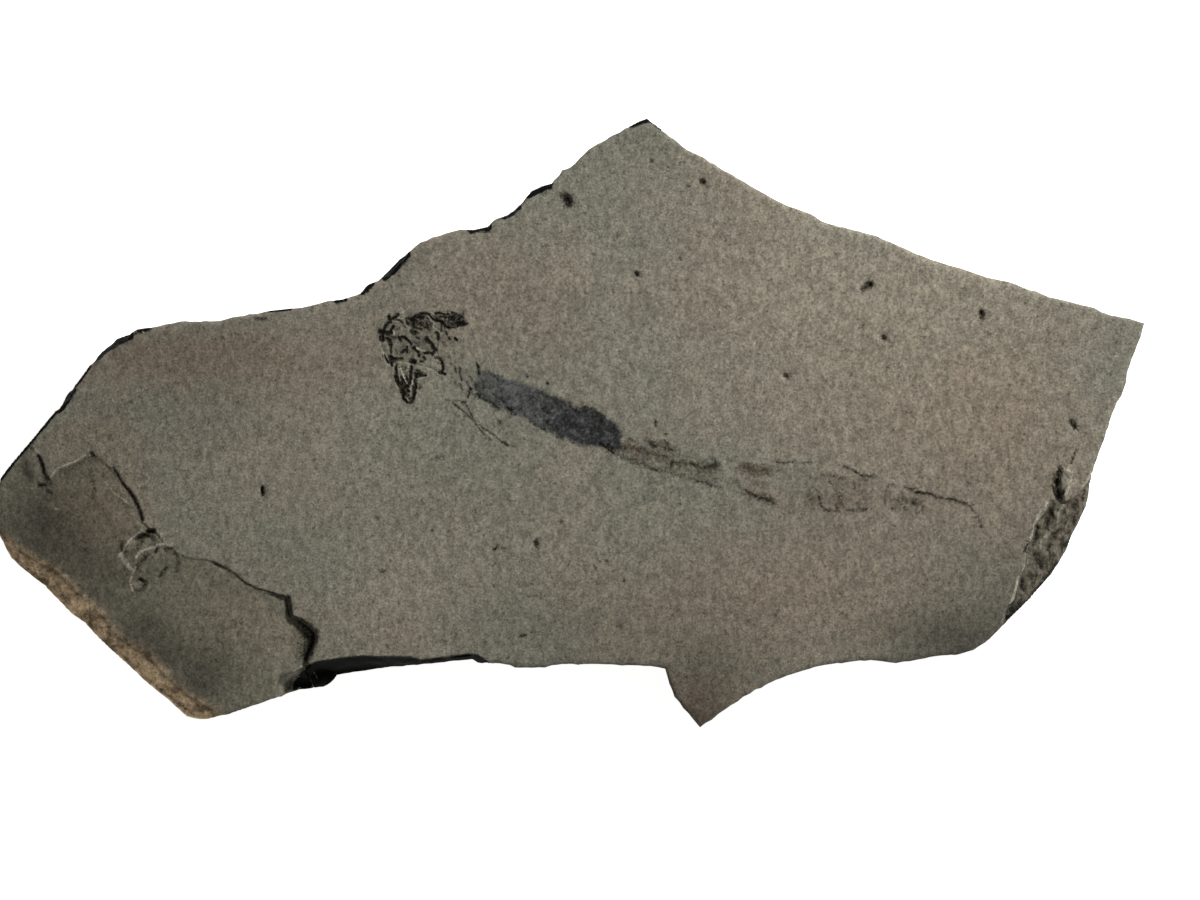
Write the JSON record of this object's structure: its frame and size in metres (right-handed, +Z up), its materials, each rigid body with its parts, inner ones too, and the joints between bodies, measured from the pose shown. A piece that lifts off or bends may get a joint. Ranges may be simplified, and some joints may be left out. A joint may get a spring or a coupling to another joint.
{
  "type": "fossil amphibian slab",
  "caption": "Flat irregular slab of lake shale with a small amphibian fossil pressed on its face: raised head bones, a dark body film and a faint tail.",
  "frame": {"origin": "on the surface that the slab rests on, under the middle of its outline", "axes": "+X along the slab towards its square right end, +Y towards the peaked long edge, +Z up out of the bedding face with the fossil"},
  "size_m": [0.289, 0.1526, 0.016],
  "materials": {
    "shale": "dull fine grain, split along the bedding",
    "bone": "dark mineralised bone, slight sheen"
  },
  "bodies": {
    "root": {"slab": "shale", "skull_roof": "bone", "right_jaw": "bone", "left_jaw": "bone"}
  },
  "joints": []
}
